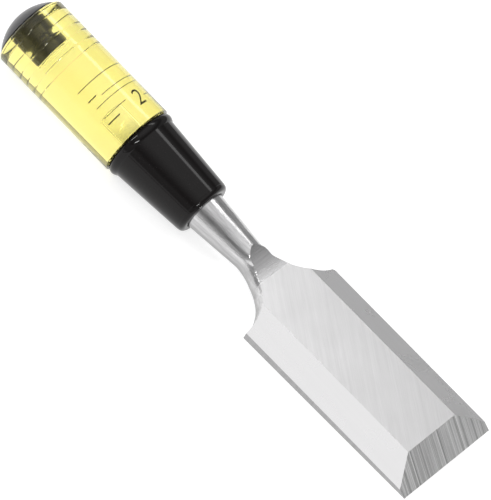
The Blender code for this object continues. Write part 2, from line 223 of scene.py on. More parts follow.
BAR_LEAD = 0.0010  # of the forging past the cutting edge
WHEEL_MARGIN = 0.0040  # of the ground off waste past the bar, on each side
WHEEL_LENGTH, END_WHEEL_HEIGHT = 0.08, 0.01  # of the waste at the cutting edge
RUN_UP = 0.01  # of the top wheel before the cutting edge
EDGE_FLAT = 0.00006  # height of the front bevel's lower end over the back
ARC_STEPS, CORNER_STEPS, FOOT_STEPS, NECK_STEPS = 48, 12, 6, 8
SECTION_GAP = 0.00002  # sections nearer than this are left out
TANG_POINT = 0.0025  # length of the tang's pointed end
BARREL_START, BARREL_RISE = 0.0015, 0.0065  # past the blade's length
RELIEF = 0.0001  # depth that a bump strength of one stands for
PAINTED_SHADE_HEIGHT = 0.0085  # over the back, where the painted shade on the steel ends and the neck is as bright as it gets
PAINTED_FOOT_SHADE = (0.0015, 0.0070)  # over the ferrule, where the painted shade in the bore clears

# Ground finishes, lit and shaded copies of the one steel: name, brightness (painted light
# and shade for those faces), roughness, slant in degrees, stretch, contrast, bump, share of light
# and dark, and how dark the painted shade makes it down at the back
FINISHES = (
    ("steel_top", 0.80, 0.34, (0, 0, 38), (50.0, 1900.0, 0.0), 2.4, 0.12, 0.09, 1.0),
    ("steel_long_bevel", 1.0, 0.28, (0, 0, 2), (15.0, 900.0, 0.0), 1.4, 0.08, 0.03, 1.0),
    ("steel_front_bevel", 1.06, 0.36, (0, 0, 13), (12.0, 3400.0, 0.0), 4.2, 0.9, 0.62, 1.0),
    ("steel_side", 0.44, 0.34, (0, 0, 0), (1600.0, 0.0, 90.0), 2.6, 0.3, 0.16, 1.0),
    ("steel_hollow", 0.74, 0.25, (0, 0, 0), (1300.0, 60.0, 60.0), 2.4, 0.3, 0.10, 1.0),
    # the neck's strong streaks are partly grinding marks and partly painted reflection streaks
    ("steel_neck", 0.72, 0.2, (0, 0, 0), (14.0, 480.0, 480.0), 3.6, 0.5, 0.36, 0.28),
)
TOP, LONG_BEVEL, FRONT, SIDE, HOLLOW, NECK = range(len(FINISHES))

# Lamps: name, place, point it faces, width and height, watts
MIDDLE = (0.07, 0.0, 0.0)
LAMPS = (
    ("back_strip", (0.80, -0.72, 1.30), (0.80, 0.0, 0.0), (1.4, 0.24), 4.2),
    ("front_low", (0.1, 1.4, 0.11), MIDDLE, (1.4, 0.12), 0.5),
    ("left_card", (1.05, 0.64, 0.84), MIDDLE, (0.12, 0.6), 4.5),
    ("right_card", (-0.78, 0.82, 0.88), MIDDLE, (0.5, 0.1), 4.5),
)
# Brightness of the sky at heights from level to overhead
SKY = (
    (0.0, 0.22), (0.12, 0.40), (0.40, 0.50), (0.53, 0.20), (0.62, 0.22), (0.72, 0.42), (0.95, 1.05),
)


# ------------------------ places


def blade_sizes():
    return bpy.context.scene.chisel_blade


def handle_sizes():
    return bpy.context.scene.chisel_handle


def arc_radius():
    b = blade_sizes()
    return HALF_WIDTH + b.shoulder_runout - b.waist / 2


def arc_end():
    """Station, back from the edge, where the shoulder arcs meet the neck."""
    b = blade_sizes()
    return b.blade_length + math.sqrt(arc_radius() ** 2 - b.shoulder_runout**2)


def ferrule_start():
    return arc_end() + blade_sizes().neck_length


def ferrule_end():
    return ferrule_start() + handle_sizes().ferrule_length


def grip_start():
    return ferrule_end() + GAP


def grip_end():
    return grip_start() + handle_sizes().grip_length


def axis_frame():
    """Turns (x, y, station) with its Z on the handle's axis into world space."""
    b = blade_sizes()
    foot = Vector((EDGE_X + arc_end(), 0.0, b.axis_height))
    turn = Matrix.Rotation(math.pi / 2 - b.axis_lean, 4, "Y")
    return Matrix.Translation(foot) @ turn @ Matrix.Translation((0.0, 0.0, -arc_end()))


# ------------------------ mesh helpers


def finish_piece(name, shape, materials, stands_for=None):
    """Makes an object of a bmesh, with its place in its mesh, and ties it to the frame."""
    mesh = bpy.data.meshes.new(name)
    shape.to_mesh(mesh)
    shape.free()
    piece = bpy.data.objects.new(name, mesh)
    bpy.context.scene.collection.objects.link(piece)
    for material in materials:
        mesh.materials.append(material)
    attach(piece, BODY)
    if stands_for:
        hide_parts(stands_for)
    return piece


def rounded(profile, radii, segments=5):
    """The profile with an arc in place of each corner that has a radius."""
    count = len(profile)
    result = []
    for index, corner in enumerate(profile):
        radius = radii.get(index, 0.0)
        if radius <= 0.0 or index in (0, count - 1):
            result.append(corner)
            continue
        here = Vector(corner)
        back = Vector(profile[index - 1]) - here
        ahead = Vector(profile[index + 1]) - here
        half = back.angle(ahead) / 2
        reach = min(radius / math.tan(half), back.length * 0.49, ahead.length * 0.49)
        radius = reach * math.tan(half)
        back.normalize()
        ahead.normalize()
        centre = here + (back + ahead).normalized() * (radius / math.sin(half))
        first = here + back * reach - centre
        last = here + ahead * reach - centre
        for step in range(segments + 1):
            share = step / segments
            spoke = first.lerp(last, share).normalized() * radius
            result.append(tuple(centre + spoke))
    return result


def join(whole, part):
    """Adds a part's shape to the whole and frees it."""
    mesh = bpy.data.meshes.new("part")
    part.to_mesh(mesh)
    part.free()
    whole.from_mesh(mesh)
    bpy.data.meshes.remove(mesh)


def turned(profile):
    """A solid of revolution from (station, radius) points that run down its outer side."""
    steps = handle_sizes().turn_steps
    shape = bmesh.new()
    corners = [shape.verts.new((radius, 0.0, station)) for station, radius in profile]
    edges = [shape.edges.new(pair) for pair in zip(corners, corners[1:])]
    bmesh.ops.spin(
        shape,
        geom=corners + edges,
        cent=(0.0, 0.0, 0.0),
        axis=(0.0, 0.0, 1.0),
        angle=math.tau,
        steps=steps,
        use_merge=True,
    )
    bmesh.ops.remove_doubles(shape, verts=shape.verts, dist=MERGE)
    bmesh.ops.dissolve_degenerate(shape, edges=shape.edges, dist=MERGE / 2)
    bmesh.ops.recalc_face_normals(shape, faces=shape.faces)
    bmesh.ops.transform(shape, verts=shape.verts, matrix=axis_frame())
    return shape


def smooth(piece, degrees):
    piece.data.shade_smooth()
    piece.data.set_sharp_from_angle(angle=math.radians(degrees))


def smooth_share(value):
    """Zero to one with a gentle start and end."""
    value = min(max(value, 0.0), 1.0)
    return value * value * (3 - 2 * value)


# ------------------------ node helpers


def new_material(name):
    material = bpy.data.materials.new(name)
    material.use_nodes = True
    surface = material.node_tree.nodes["Principled BSDF"]
    return material, material.node_tree, surface


def node(tree, kind, **values):
    made = tree.nodes.new(kind)
    for key, value in values.items():
        setattr(made, key, value)
    return made


def set_inputs(made, **values):
    """Sets inputs by name, with an underscore for each space."""
    for key, value in values.items():
        made.inputs[key.replace("_", " ")].default_value = value
    return made


def wire(tree, source, target):
    tree.links.new(source, target)


def effect_group(name, inputs, outputs):
    """A node group with named sockets, and the nodes at its two ends."""
    group = bpy.data.node_groups.new(name, "ShaderNodeTree")
    for key, kind in inputs.items():
        group.interface.new_socket(key, in_out="INPUT", socket_type="NodeSocket" + kind)
    for key in outputs:
        group.interface.new_socket(key, in_out="OUTPUT", socket_type="NodeSocketFloat")
    return group, node(group, "NodeGroupInput"), node(group, "NodeGroupOutput")


def grind_group():
    """Grinding marks: long streaks at a given slant, as a value round one half."""
    if "grind_marks" in bpy.data.node_groups:
        return bpy.data.node_groups["grind_marks"]
    inputs = {"Vector": "Vector", "Turn": "Vector", "Stretch": "Vector", "Depth": "Float"}
    group, start, end = effect_group("grind_marks", inputs, ("Marks", "Cloud"))
    mapping = node(group, "ShaderNodeMapping", vector_type="POINT")
    scaling = node(group, "ShaderNodeMapping", vector_type="POINT")
    wire(group, start.outputs["Vector"], mapping.inputs["Vector"])
    wire(group, start.outputs["Turn"], mapping.inputs["Rotation"])
    wire(group, mapping.outputs["Vector"], scaling.inputs["Vector"])
    wire(group, start.outputs["Stretch"], scaling.inputs["Scale"])
    fine = set_inputs(node(group, "ShaderNodeTexNoise"), Scale=1.0, Detail=6.0, Roughness=0.7)
    coarse = set_inputs(node(group, "ShaderNodeTexNoise"), Scale=0.22, Detail=3.0, Roughness=0.6)
    wire(group, scaling.outputs["Vector"], fine.inputs["Vector"])
    wire(group, scaling.outputs["Vector"], coarse.inputs["Vector"])
    blend = node(group, "ShaderNodeMix", data_type="FLOAT")
    blend.inputs[0].default_value = 0.45
    wire(group, fine.outputs["Fac"], blend.inputs[2])
    wire(group, coarse.outputs["Fac"], blend.inputs[3])
    centred = node(group, "ShaderNodeMath", operation="SUBTRACT")
    centred.inputs[1].default_value = 0.5
    wire(group, blend.outputs[0], centred.inputs[0])
    scaled = node(group, "ShaderNodeMath", operation="MULTIPLY_ADD")
    scaled.inputs[2].default_value = 0.5
    wire(group, centred.outputs[0], scaled.inputs[0])
    wire(group, start.outputs["Depth"], scaled.inputs[1])
    wire(group, scaled.outputs[0], end.inputs["Marks"])
    cloud = set_inputs(node(group, "ShaderNodeTexNoise"), Scale=90.0, Detail=3.0)
    wire(group, start.outputs["Vector"], cloud.inputs["Vector"])
    wire(group, cloud.outputs["Fac"], end.inputs["Cloud"])
    return group


def scuff_group():
    """Fine dust and handling scuffs for the plastics, as two values."""
    if "plastic_scuffs" in bpy.data.node_groups:
        return bpy.data.node_groups["plastic_scuffs"]
    inputs = {"Vector": "Vector", "Scale": "Float"}
    group, start, end = effect_group("plastic_scuffs", inputs, ("Mottle", "Dust"))
    mottle = set_inputs(node(group, "ShaderNodeTexNoise"), Detail=4.0, Roughness=0.6)
    wire(group, start.outputs["Vector"], mottle.inputs["Vector"])
    wire(group, start.outputs["Scale"], mottle.inputs["Scale"])
    wire(group, mottle.outputs["Fac"], end.inputs["Mottle"])
    speck = set_inputs(node(group, "ShaderNodeTexNoise"), Scale=2600.0, Detail=2.0)
    wire(group, start.outputs["Vector"], speck.inputs["Vector"])
    limit = set_inputs(node(group, "ShaderNodeMapRange"), From_Min=0.66, From_Max=0.78)
    wire(group, speck.outputs["Fac"], limit.inputs["Value"])
    wire(group, limit.outputs["Result"], end.inputs["Dust"])
    return group


def placed_group(tree, group):
    """A shared effect laid over the piece, and its place as seen by the effect."""
    coords = node(tree, "ShaderNodeTexCoord")
    effect = node(tree, "ShaderNodeGroup", node_tree=group)
    wire(tree, coords.outputs["Object"], effect.inputs["Vector"])
    return coords.outputs["Object"], effect


def between(tree, first, last, mask):
    """A colour between two shades, as the mask says."""
    tint = node(tree, "ShaderNodeMix", data_type="RGBA")
    tint.inputs[6].default_value = (*first, 1.0)
    tint.inputs[7].default_value = (*last, 1.0)
    wire(tree, mask, tint.inputs[0])
    return tint.outputs[2]


def with_painted_shade(tree, tint, place, axis, start, end, low):
    """The colour with painted shade: darkened by the share low at the start of a stretch along an
    axis.
    """
    split = node(tree, "ShaderNodeSeparateXYZ")
    wire(tree, place, split.inputs[0])
    lift = node(tree, "ShaderNodeMapRange")
    set_inputs(lift, From_Min=start, From_Max=end, To_Min=low)
    wire(tree, split.outputs[axis], lift.inputs["Value"])
    shaded = node(tree, "ShaderNodeMix", data_type="RGBA", blend_type="MULTIPLY")
    shaded.inputs[0].default_value = 1.0
    wire(tree, tint, shaded.inputs[6])
    wire(tree, lift.outputs["Result"], shaded.inputs[7])
    return shaded.outputs[2]


def roughened(tree, surface, low, high, mask):
    spread = set_inputs(node(tree, "ShaderNodeMapRange"), To_Min=low, To_Max=high)
    wire(tree, mask, spread.inputs["Value"])
    wire(tree, spread.outputs["Result"], surface.inputs["Roughness"])


def relieved(tree, surface, strength, height):
    relief = set_inputs(node(tree, "ShaderNodeBump"), Strength=strength, Distance=RELIEF)
    wire(tree, height, relief.inputs["Height"])
    wire(tree, relief.outputs["Normal"], surface.inputs["Normal"])


def steel_material(name, shade, rough, turn, stretch, depth, bump, tint_share, painted_low_shade):
    """Ground steel: streaks in its colour, roughness and surface at the given slant.

    painted_low_shade is how dark the painted shade makes the steel down at the flat back, and shade
    is painted light and shade for the faces.
    """
    material, tree, surface = new_material(name)
    surface.inputs["Metallic"].default_value = 1.0
    place, marks = placed_group(tree, grind_group())
    slant = [math.radians(value) for value in turn]
    set_inputs(marks, Turn=slant, Stretch=stretch, Depth=depth)
    base = bpy.context.scene.chisel_colours.steel
    # shade brightens or darkens the one steel for these faces: painted light and shade
    dark = tuple(channel * shade * (1 - tint_share) for channel in base)
    light = tuple(min(channel * shade * (1 + tint_share), 1.0) for channel in base)
    tint = between(tree, dark, light, marks.outputs["Marks"])
    # painted shade: the steel darkens towards the flat back
    shaded = with_painted_shade(tree, tint, place, "Z", 0.0, PAINTED_SHADE_HEIGHT, painted_low_shade)
    wire(tree, shaded, surface.inputs["Base Color"])
    roughened(tree, surface, rough * 0.8, rough * 1.2, marks.outputs["Cloud"])
    relieved(tree, surface, bump, marks.outputs["Marks"])
    return material


def plastic_material(name, shade, rough, scale, shine):
    """Moulded plastic with faint mottling and dust; shine is its specular level."""
    material, tree, surface = new_material(name)
    _, scuffs = placed_group(tree, scuff_group())
    set_inputs(scuffs, Scale=scale)
    dusty = tuple(min(channel * 3 + 0.01, 1.0) for channel in shade)
    tint = between(tree, shade, dusty, scuffs.outputs["Dust"])
    wire(tree, tint, surface.inputs["Base Color"])
    roughened(tree, surface, rough * 0.7, rough * 1.4, scuffs.outputs["Mottle"])
    surface.inputs["Specular IOR Level"].default_value = shine
    relieved(tree, surface, 0.05, scuffs.outputs["Mottle"])
    return material


def acetate_material(name, shade, bend, painted_foot_shade):
    """Clear plastic that light goes through.

    bend is its index of refraction; painted_foot_shade is painted shade that darkens it down at the
    ferrule.
    """
    material, tree, surface = new_material(name)
    place, scuffs = placed_group(tree, scuff_group())
    set_inputs(scuffs, Scale=60.0)
    pale = (min(shade[0] * 1.01, 1), shade[1] * 1.04, shade[2] * 1.35)
    tint = between(tree, shade, pale, scuffs.outputs["Mottle"])
    foot = EDGE_X + grip_start()
    # painted shade: darker next to the ferrule
    shaded = with_painted_shade(tree, tint, place, "X", foot + PAINTED_FOOT_SHADE[0], foot + PAINTED_FOOT_SHADE[1], painted_foot_shade)
    wire(tree, shaded, surface.inputs["Base Color"])
    roughened(tree, surface, 0.0, 0.05, scuffs.outputs["Mottle"])
    surface.inputs["Transmission Weight"].default_value = 0.985
    surface.inputs["IOR"].default_value = bend
    return material


# ------------------------ the blade


def forging_ring(station, left_width, right_width, radius, roundness):
    """One section of the bar, from an upright rectangle to a circle on the handle's axis."""
    b = blade_sizes()
    points = b.ring_points
    half_height = b.bar_height / 2
    square = []
    for step in range(points):
        share = 2 * step / points - 1
        square.append((1.0, share))
    for step in range(points):
        share = 1 - 2 * step / points
        square.append((share, 1.0))
    square += [(-across, -up) for across, up in square]
    lean = Vector((-math.sin(b.axis_lean), 0.0, math.cos(b.axis_lean)))
    along = station - arc_end()
    barrel_share = smooth_share((station - b.blade_length - BARREL_START) / BARREL_RISE)
    on_axis = Vector((EDGE_X + arc_end() + along * math.cos(b.axis_lean), 0.0, 0.0))
    on_axis.z = b.axis_height + along * math.sin(b.axis_lean)
    ring = []
    for index, (across, up) in enumerate(square):
        turn = -math.pi / 4 + math.pi / 2 * index / points
        width = left_width if across > 0 else right_width
        height = half_height * (1 + up)
        if abs(across) == 1.0:
            width += b.barrel * barrel_share * (1 - min((height / b.barrel_height - 1) ** 2, 2))
        flat_point = Vector((EDGE_X + station, across * width, height))
        round_point = on_axis + lean * radius * math.sin(turn)
        round_point.y = radius * math.cos(turn)
        ring.append(flat_point.lerp(round_point, roundness))
    return ring


def corner_end(radius, corner_round):
    """Station where a shoulder arc takes over from the rounded outer corner."""
    inner = HALF_WIDTH - corner_round - blade_sizes().waist / 2
    return arc_end() - math.sqrt(radius**2 - (radius - inner) ** 2)


def bar_width(station, radius, corner_round):
    """Width of one side of the bar at a station up to the end of its arc."""
    end = corner_end(radius, corner_round)
    if station <= end - corner_round:
        return HALF_WIDTH
    if station < end:
        swing = max(corner_round**2 - (station - end + corner_round) ** 2, 0.0)
        return HALF_WIDTH - corner_round + math.sqrt(swing)
    along = max(arc_end() - station, 0.0)
    return blade_sizes().waist / 2 + radius - math.sqrt(max(radius**2 - along**2, 0.0))


def arc_stations(radius, corner_round):
    """Stations that show one side's corner and arc, up to the arc's end."""
    end = corner_end(radius, corner_round)
    stations = []
    if corner_round > 0.0:
        turns = [math.pi / 2 * step / CORNER_STEPS for step in range(CORNER_STEPS + 1)]
        stations = [end - corner_round * (1 - math.sin(turn)) for turn in turns]
    first = math.acos((arc_end() - end) / radius)
    for step in range(ARC_STEPS + 1):
        turn = first + (math.pi / 2 - first) * step / ARC_STEPS
        stations.append(arc_end() - radius * math.cos(turn))
    return stations


def forging_sections():
    """Sections of the forging, from the cutting edge to the end of the tang."""
    b = blade_sizes()
    rounding_from = arc_end() - b.rounding_start
    left = (arc_radius(), 0.0)
    right = (b.right_arc, b.right_round)
    sections = [(-BAR_LEAD, HALF_WIDTH, HALF_WIDTH, b.neck_low, 0.0)]
    last = -1.0
    for station in sorted(arc_stations(*left) + arc_stations(*right)):
        if station - last < SECTION_GAP:
            continue
        share = smooth_share((station - rounding_from) / b.rounding)
        widths = (bar_width(station, *left), bar_width(station, *right))
        sections.append((station, *widths, b.neck_low, share))
        last = station
    waist = b.waist / 2
    neck_foot = rounding_from + b.rounding
    for step in range(1, FOOT_STEPS + 1):
        station = arc_end() + (neck_foot - arc_end()) * step / FOOT_STEPS
        share = smooth_share((station - rounding_from) / b.rounding)
        sections.append((station, waist, waist, b.neck_low, share))
    for step in range(1, NECK_STEPS + 1):
        share = step / NECK_STEPS
        station = neck_foot + (ferrule_start() - GAP - neck_foot) * share
        radius = b.neck_low + (b.neck_high - b.neck_low) * share
        sections.append((station, waist, waist, radius, 1.0))
    tang_start = ferrule_start() + handle_sizes().ferrule_floor
    sections.append((tang_start, waist, waist, b.neck_high, 1.0))
    sections.append((tang_start, waist, waist, b.tang_radius, 1.0))
    tang_end = tang_start + b.tang_length
    sections.append((tang_end - TANG_POINT, waist, waist, b.tang_radius, 1.0))
    sections.append((tang_end, waist, waist, b.tang_radius / 2, 1.0))
    return sections


def ring_edges(ring):
    """The edges round a section, always in the same order."""
    members = set(ring)
    edges = dict.fromkeys(edge for corner in ring for edge in corner.link_edges)
    return [edge for edge in edges if members.issuperset(edge.verts)]


def extruded_ring(shape, ring, points):
    """Draws the ring out to its next section."""
    made = bmesh.ops.extrude_edge_only(shape, edges=ring_edges(ring))["geom"]
    fresh = {v.co.to_tuple(8): v for v in made if isinstance(v, bmesh.types.BMVert)}
    following = [fresh[corner.co.to_tuple(8)] for corner in ring]
    for corner, point in zip(following, points):
        corner.co = point
    return following


def forged_bar():
    """The whole forging, before any face is ground."""
    rings = [forging_ring(*section) for section in forging_sections()]
    shape = bmesh.new()
    made = bmesh.ops.create_circle(shape, cap_ends=False, segments=len(rings[0]), radius=1.0)
    ring = made["verts"]
    for corner, point in zip(ring, rings[0]):
        corner.co = point
    bmesh.ops.contextual_create(shape, geom=ring_edges(ring))
    for points in rings[1:]:
        ring = extruded_ring(shape, ring, points)
    bmesh.ops.contextual_create(shape, geom=ring_edges(ring))
    bmesh.ops.recalc_face_normals(shape, faces=shape.faces)
    return shape


def temporary(name, shape):
    mesh = bpy.data.meshes.new(name)
    shape.to_mesh(mesh)
    shape.free()
    made = bpy.data.objects.new(name, mesh)
    bpy.context.scene.collection.objects.link(made)
    return made


def block_on_plane(name, corner, along, across, size):
    """A block that stands on the plane through corner spanned by two directions."""
    along = Vector(along).normalized()
    up = along.cross(Vector(across)).normalized()
    across = up.cross(along)
    shape = bmesh.new()
    bmesh.ops.create_cube(shape, size=1.0)
    bmesh.ops.translate(shape, verts=shape.verts, vec=(0.0, 0.0, 0.5))
    bmesh.ops.scale(shape, verts=shape.verts, vec=size)
    turn = Matrix((along, across, up)).transposed().to_4x4()
    bmesh.ops.transform(shape, verts=shape.verts, matrix=Matrix.Translation(corner) @ turn)
    return temporary(name, shape)


def top_wheel():
    """The waste above the top face and the hollow, drawn from the side and made wide."""
    b = blade_sizes()
    slope = math.atan(b.taper)
    hollow_from = arc_end() - b.hollow_start
    waste_top = 3 * b.bar_height
    centre = Vector((EDGE_X + hollow_from, 0.0, b.thickness + b.taper * hollow_from))
    centre += b.hollow_radius * Vector((-math.sin(slope), 0.0, math.cos(slope)))
    start = Vector((EDGE_X - RUN_UP, 0.0, b.thickness - b.taper * RUN_UP))
    outline = [Vector((start.x, 0.0, waste_top)), start]
    for step in range(ARC_STEPS + 1):
        turn = slope + b.hollow_sweep * step / ARC_STEPS
        outline.append(centre + b.hollow_radius * Vector((math.sin(turn), 0.0, -math.cos(turn))))
    rise = (waste_top - outline[-1].z) / math.tan(slope + b.hollow_sweep)
    outline.append(Vector((outline[-1].x + rise, 0.0, waste_top)))
    shape = bmesh.new()
    corners = []
    for point in outline:
        place = point - Vector((0.0, HALF_WIDTH + WHEEL_MARGIN, 0.0))
        corners += bmesh.ops.create_vert(shape, co=place)["vert"]
    for corner, following in zip(corners, corners[1:] + corners[:1]):
        bmesh.ops.contextual_create(shape, geom=[corner, following])
    bmesh.ops.contextual_create(shape, geom=shape.edges[:])
    made = bmesh.ops.extrude_face_region(shape, geom=shape.faces[:])["geom"]
    moved = [corner for corner in made if isinstance(corner, bmesh.types.BMVert)]
    bmesh.ops.translate(shape, verts=moved, vec=(0.0, 2 * (HALF_WIDTH + WHEEL_MARGIN), 0.0))
    bmesh.ops.recalc_face_normals(shape, faces=shape.faces)
    return temporary("wheel_top", shape)


def grinding_wheels():
    """The waste above each ground face."""
    b = blade_sizes()
    tall = 3 * b.bar_height
    span = 2 * (HALF_WIDTH + WHEEL_MARGIN)
    flat = (1.0, 0.0, b.taper)
    wheels = [top_wheel()]
    drop = (b.thickness - b.side_thickness) / (HALF_WIDTH - b.top_width / 2)
    middle = b.blade_length / 2
    height = b.side_thickness + b.taper * middle
    run = 2 * (HALF_WIDTH - b.top_width / 2) / math.cos(math.atan(drop)) + 2 * WHEEL_MARGIN
    for side in (1, -1):
        corner = (EDGE_X + middle, side * HALF_WIDTH, height)
        size = (b.blade_length + 2 * arc_radius(), run, 2 * b.bar_height)
        name = "wheel_left" if side > 0 else "wheel_right"
        wheels.append(block_on_plane(name, corner, flat, (0, 1, -side * drop), size))
    corner = (EDGE_X, 0.0, EDGE_FLAT)
    steep = (math.cos(b.edge_angle), 0.0, math.sin(b.edge_angle))
    size = (WHEEL_LENGTH, span, tall)
    wheels.append(block_on_plane("wheel_front", corner, steep, (0, 1, 0), size))
    corner = (EDGE_X, 0.0, 0.0)
    size = (WHEEL_LENGTH, span, END_WHEEL_HEIGHT)
    wheels.append(block_on_plane("wheel_end", corner, (0, 0, 1), (0, 1, 0), size))
    return wheels


def ground(bar, wheels):
    """The bar with every wheel's waste taken off, as a bmesh."""
    for wheel in wheels:
        cut = bar.modifiers.new(wheel.name, "BOOLEAN")
        cut.operation = "DIFFERENCE"
        cut.solver = "EXACT"
        cut.object = wheel
    bpy.context.view_layer.update()
    evaluated = bar.evaluated_get(bpy.context.evaluated_depsgraph_get())
    mesh = bpy.data.meshes.new_from_object(evaluated)
    shape = bmesh.new()
    shape.from_mesh(mesh)
    bpy.data.meshes.remove(mesh)
    for spent in [bar, *wheels]:
        bpy.data.objects.remove(spent, do_unlink=True)
    if not shape.faces:
        raise RuntimeError("The grinding left nothing of the blade")
    bmesh.ops.remove_doubles(shape, verts=shape.verts, dist=2 * MERGE)
    bmesh.ops.dissolve_limit(
        shape, angle_limit=math.radians(0.15), verts=shape.verts, edges=shape.edges
    )
    bmesh.ops.recalc_face_normals(shape, faces=shape.faces)
    return shape


def zone_of(face):
    """Which grinding a face of the blade had, from where it is and which way it faces."""
    b = blade_sizes()
    place = face.calc_center_median()
    facing = face.normal
    station = place.x - EDGE_X
    hollow_from = arc_end() - b.hollow_start
    upward = facing.z > 0.5
    if facing.x < -0.4 and station < 0.02:
        return FRONT
    if abs(facing.z) < 0.3 and station < b.blade_length - 0.002:
        return SIDE
    if upward and station < hollow_from + 0.0002:
        return LONG_BEVEL if abs(facing.y) > 0.2 else TOP
    if upward and abs(facing.y) < 0.001 and facing.x < -0.005:
        return HOLLOW
    return TOP if facing.z < -0.99 else NECK  # the flat back is finished as the top is


class CHISEL_OT_blade(Operator):
    """Builds the blade, forged in one with its neck and tang and ground to shape"""

    bl_idname = "chisel.blade"
    bl_label = "Blade"
    bl_options = {"REGISTER", "UNDO"}

    def execute(self, context):
        bar = temporary("forged_bar", forged_bar())
        shape = ground(bar, grinding_wheels())
        for face in shape.faces:
            face.material_index = zone_of(face)
        finishes = [steel_material(*finish) for finish in FINISHES]
        piece = finish_piece("blade_forging", shape, finishes, "blade")
        smooth(piece, 20.0)
        soften = piece.modifiers.new("broken_edges", "BEVEL")
        soften.width = blade_sizes().edge_softness
        soften.segments = 2
        soften.limit_method = "ANGLE"
        soften.angle_limit = math.radians(19.0)
        soften.harden_normals = True
        return {"FINISHED"}


# ------------------------ the turned pieces


def ferrule_inner_radius(station):
    h = handle_sizes()
    low = blade_sizes().neck_high + GAP + h.ferrule_lip
    share = (station - ferrule_start()) / (h.ferrule_length - h.bead_length)
    return low + (h.ferrule_high - low) * share - h.ferrule_wall


class CHISEL_OT_ferrule(Operator):
    """Builds the tapered black sleeve with its bead"""

    bl_idname = "chisel.ferrule"
    bl_label = "Ferrule"
    bl_options = {"REGISTER", "UNDO"}

    def execute(self, context):
        h = handle_sizes()
        start, end = ferrule_start(), ferrule_end()
        mouth = blade_sizes().neck_high + GAP
        low = mouth + h.ferrule_lip
        foot = end - h.bead_length
        floor = start + h.ferrule_floor
        bore_top = (end, ferrule_inner_radius(end))
        profile = [bore_top, (end, h.bead_top - CHAMFER), (end - CHAMFER, h.bead_top)]
        for step in range(1, BEAD_STEPS):
            share = step / BEAD_STEPS
            swell = math.sin(math.pi * share) ** BEAD_FULLNESS
            base = h.bead_top + (h.ferrule_high - h.bead_top) * share
            profile.append((end - h.bead_length * share, base + (h.bead_radius - base) * swell))
        profile.append((foot, h.ferrule_high))
        line = start + h.ferrule_round + RIM
        profile.append((line, low + PRESS))
        profile.append((line - NICK_WIDTH, low - NICK))
        reach = h.ferrule_round
        centre = Vector((start + reach, low - NICK - reach))
        for step in range(ROUND_STEPS + 1):
            turn = math.pi / 2 * (1 + step / ROUND_STEPS)
            point = centre + Vector((reach * math.cos(turn), reach * math.sin(turn)))
            profile.append(tuple(point))
        profile.append((start, mouth + RIM))
        profile.append((start + RIM, mouth))
        profile.append((floor, mouth))
        profile.append((floor, ferrule_inner_radius(floor)))
        profile.append(bore_top)
        shade = bpy.context.scene.chisel_colours.sleeve
        material = plastic_material("gloss_black_sleeve", shade, 0.09, 120.0, 0.22)
        piece = finish_piece(
            "ferrule_sleeve", turned(profile), [material], "ferrule"
        )
        smooth(piece, 35.0)
        return {"FINISHED"}


class CHISEL_OT_handle(Operator):
    """Builds the clear yellow grip with its rings, its spigot and its two bores"""

    bl_idname = "chisel.handle"
    bl_label = "Handle"
    bl_options = {"REGISTER", "UNDO"}

    def execute(self, context):
        h = handle_sizes()
        start, end = ferrule_end() + PRESS, grip_end()
        plug_bore = h.plug_radius - PRESS
        bore_floor = end + GAP - h.plug_length - GAP
        profile = [(bore_floor, 0.0), (bore_floor, plug_bore), (end, plug_bore)]
        profile.append((end, h.radius))
        radii = {2: RIM, 3: h.butt_round}
        for offset in GROOVES:
            station = end - offset
            for shift, depth in ((0.5, 0.0), (0.0, h.groove_depth), (-0.5, 0.0)):
                radii[len(profile)] = GROOVE_ROUND
                profile.append((station + shift * h.groove_width, h.radius - depth))
        radii[len(profile)] = RIM
        spigot = start - h.ferrule_length + h.ferrule_floor
        profile.append((start, h.radius))
        profile.append((start, ferrule_inner_radius(start) + PRESS))
        profile.append((spigot, ferrule_inner_radius(spigot) + PRESS))
        tang_bore = blade_sizes().tang_radius + GAP
        profile.append((spigot, tang_bore))
        radii[len(profile)] = BORE_ROUND
        profile.append((spigot + h.bore_depth, tang_bore))
        profile.append((spigot + h.bore_depth + h.drill_point, 0.0))
        yellow = context.scene.chisel_colours.acetate
        skin = acetate_material("yellow_acetate", yellow, 1.48, 1.0)
        # 0.62 is painted shade in the bores next to the ferrule
        bored = acetate_material("bored_acetate", BORED_SHADE, 1.12, 0.62)
        shape = turned(rounded(profile, radii))
        foot, along = axis_frame() @ Vector(), axis_frame().to_3x3() @ Vector((0.0, 0.0, 1.0))
        for face in shape.faces:
            reach = (face.calc_center_median() - foot).cross(along).length
            face.material_index = 1 if reach < h.plug_radius + GAP else 0
        piece = finish_piece("handle_grip", shape, [skin, bored], "handle")
        smooth(piece, 40.0)
        return {"FINISHED"}


